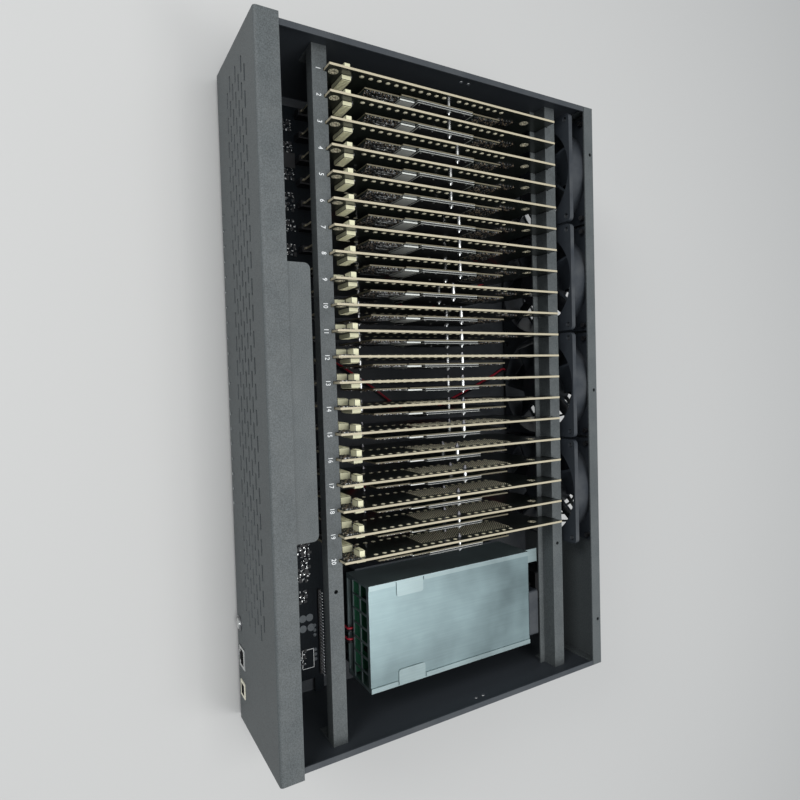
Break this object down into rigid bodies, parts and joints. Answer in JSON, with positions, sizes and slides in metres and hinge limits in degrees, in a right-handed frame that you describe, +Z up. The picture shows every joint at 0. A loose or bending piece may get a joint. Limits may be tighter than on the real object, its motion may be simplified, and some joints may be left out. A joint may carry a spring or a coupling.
{
  "type": "computer case",
  "caption": "Low sheet-steel case with slotted front, open top, a row of upright boards in two slotted rails, rear fans and an enclosed power supply.",
  "frame": {"origin": "middle of the case in plan, on the surface that its rubber feet stand on", "axes": "+X to the right seen from the front, +Y from the front panel to the rear panel, +Z up"},
  "size_m": [0.5, 0.3036, 0.104],
  "materials": {
    "coat": "fine textured dark grey powder coat",
    "dark_coat": "fine textured dark grey powder coat, in shade",
    "steel": "nickel-plated steel",
    "zinc": "zinc-coated sheet with a soft mottled sheen",
    "circuit_board": "black solder mask",
    "card_board": "black solder mask with bare tan edges",
    "green_board": "green solder mask",
    "black_plastic": "moulded black plastic",
    "cream_plastic": "cream nylon",
    "lens": "clear milky lens",
    "red_wire": "red wire insulation",
    "black_wire": "black wire insulation",
    "rubber": "matt black rubber"
  },
  "bodies": {
    "chassis": {"base_tray": "dark_coat", "front_panel": "coat", "rear_panel": "coat", "hub_shield": "coat", "front_card_rail": "coat", "rear_card_rail": "coat", "rail_screws": "steel", "hub_board": "circuit_board", "hub_chips": "black_plastic", "hub_connectors": "cream_plastic", "card_sockets": "black_plastic", "pin_header": "black_plastic", "board_standoffs": "steel", "board_screws": "steel", "network_socket": "steel", "data_socket": "cream_plastic", "power_switch": "steel", "indicator_lights": "lens", "psu_case": "zinc", "psu_cover": "zinc", "psu_board": "green_board", "psu_fan_frame": "black_plastic", "psu_bracket": "dark_coat", "bracket_screws": "steel", "ac_inlet": "black_plastic", "fan_frame_1": "black_plastic", "fan_frame_2": "black_plastic", "fan_frame_3": "black_plastic", "fan_frame_4": "black_plastic", "rear_screws": "steel", "red_leads": "red_wire", "black_leads": "black_wire", "mains_lead": "black_wire", "rubber_feet": "rubber"},
    "psu_fan_rotor": {"psu_fan_rotor": "black_plastic"},
    "power_button": {"power_button": "steel"},
    "fan_rotor_1": {"fan_rotor_1": "black_plastic"},
    "fan_rotor_2": {"fan_rotor_2": "black_plastic"},
    "fan_rotor_3": {"fan_rotor_3": "black_plastic"},
    "fan_rotor_4": {"fan_rotor_4": "black_plastic"},
    "card_01": {"card_01": "card_board"},
    "card_02": {"card_02": "card_board"},
    "card_03": {"card_03": "card_board"},
    "card_04": {"card_04": "card_board"},
    "card_05": {"card_05": "card_board"},
    "card_06": {"card_06": "card_board"},
    "card_07": {"card_07": "card_board"},
    "card_08": {"card_08": "card_board"},
    "card_09": {"card_09": "card_board"},
    "card_10": {"card_10": "card_board"},
    "card_11": {"card_11": "card_board"},
    "card_12": {"card_12": "card_board"},
    "card_13": {"card_13": "card_board"},
    "card_14": {"card_14": "card_board"},
    "card_15": {"card_15": "card_board"},
    "card_16": {"card_16": "card_board"},
    "card_17": {"card_17": "card_board"},
    "card_18": {"card_18": "card_board"},
    "card_19": {"card_19": "card_board"},
    "card_20": {"card_20": "card_board"}
  },
  "joints": [
    {"name": "fan_1_spin", "type": "hinge", "parent": "chassis", "child": "fan_rotor_1", "pos_m": [-0.1938, 0.1356, 0.0544], "axis": [0, 1, 0], "continuous": true},
    {"name": "fan_2_spin", "type": "hinge", "parent": "chassis", "child": "fan_rotor_2", "pos_m": [-0.0995, 0.1356, 0.0544], "axis": [0, 1, 0], "continuous": true},
    {"name": "fan_3_spin", "type": "hinge", "parent": "chassis", "child": "fan_rotor_3", "pos_m": [-0.0052, 0.1356, 0.0544], "axis": [0, 1, 0], "continuous": true},
    {"name": "fan_4_spin", "type": "hinge", "parent": "chassis", "child": "fan_rotor_4", "pos_m": [0.0891, 0.1356, 0.0544], "axis": [0, 1, 0], "continuous": true},
    {"name": "psu_fan_spin", "type": "hinge", "parent": "chassis", "child": "psu_fan_rotor", "pos_m": [0.1966, 0.0923, 0.0587], "axis": [0, 1, 0], "continuous": true},
    {"name": "button_press", "type": "slide", "parent": "chassis", "child": "power_button", "axis": [0, 1, 0], "range_m": [0, 0.001], "stiffness_N_per_m": 1500, "springref_m": -0.0006},
    {"name": "card_01_lift", "type": "slide", "parent": "chassis", "child": "card_01", "axis": [0, 0, 1], "range_m": [0, 0.088]},
    {"name": "card_02_lift", "type": "slide", "parent": "chassis", "child": "card_02", "axis": [0, 0, 1], "range_m": [0, 0.088]},
    {"name": "card_03_lift", "type": "slide", "parent": "chassis", "child": "card_03", "axis": [0, 0, 1], "range_m": [0, 0.088]},
    {"name": "card_04_lift", "type": "slide", "parent": "chassis", "child": "card_04", "axis": [0, 0, 1], "range_m": [0, 0.088]},
    {"name": "card_05_lift", "type": "slide", "parent": "chassis", "child": "card_05", "axis": [0, 0, 1], "range_m": [0, 0.088]},
    {"name": "card_06_lift", "type": "slide", "parent": "chassis", "child": "card_06", "axis": [0, 0, 1], "range_m": [0, 0.088]},
    {"name": "card_07_lift", "type": "slide", "parent": "chassis", "child": "card_07", "axis": [0, 0, 1], "range_m": [0, 0.088]},
    {"name": "card_08_lift", "type": "slide", "parent": "chassis", "child": "card_08", "axis": [0, 0, 1], "range_m": [0, 0.088]},
    {"name": "card_09_lift", "type": "slide", "parent": "chassis", "child": "card_09", "axis": [0, 0, 1], "range_m": [0, 0.088]},
    {"name": "card_10_lift", "type": "slide", "parent": "chassis", "child": "card_10", "axis": [0, 0, 1], "range_m": [0, 0.088]},
    {"name": "card_11_lift", "type": "slide", "parent": "chassis", "child": "card_11", "axis": [0, 0, 1], "range_m": [0, 0.088]},
    {"name": "card_12_lift", "type": "slide", "parent": "chassis", "child": "card_12", "axis": [0, 0, 1], "range_m": [0, 0.088]},
    {"name": "card_13_lift", "type": "slide", "parent": "chassis", "child": "card_13", "axis": [0, 0, 1], "range_m": [0, 0.088]},
    {"name": "card_14_lift", "type": "slide", "parent": "chassis", "child": "card_14", "axis": [0, 0, 1], "range_m": [0, 0.088]},
    {"name": "card_15_lift", "type": "slide", "parent": "chassis", "child": "card_15", "axis": [0, 0, 1], "range_m": [0, 0.088]},
    {"name": "card_16_lift", "type": "slide", "parent": "chassis", "child": "card_16", "axis": [0, 0, 1], "range_m": [0, 0.088]},
    {"name": "card_17_lift", "type": "slide", "parent": "chassis", "child": "card_17", "axis": [0, 0, 1], "range_m": [0, 0.088]},
    {"name": "card_18_lift", "type": "slide", "parent": "chassis", "child": "card_18", "axis": [0, 0, 1], "range_m": [0, 0.088]},
    {"name": "card_19_lift", "type": "slide", "parent": "chassis", "child": "card_19", "axis": [0, 0, 1], "range_m": [0, 0.088]},
    {"name": "card_20_lift", "type": "slide", "parent": "chassis", "child": "card_20", "axis": [0, 0, 1], "range_m": [0, 0.088]}
  ]
}
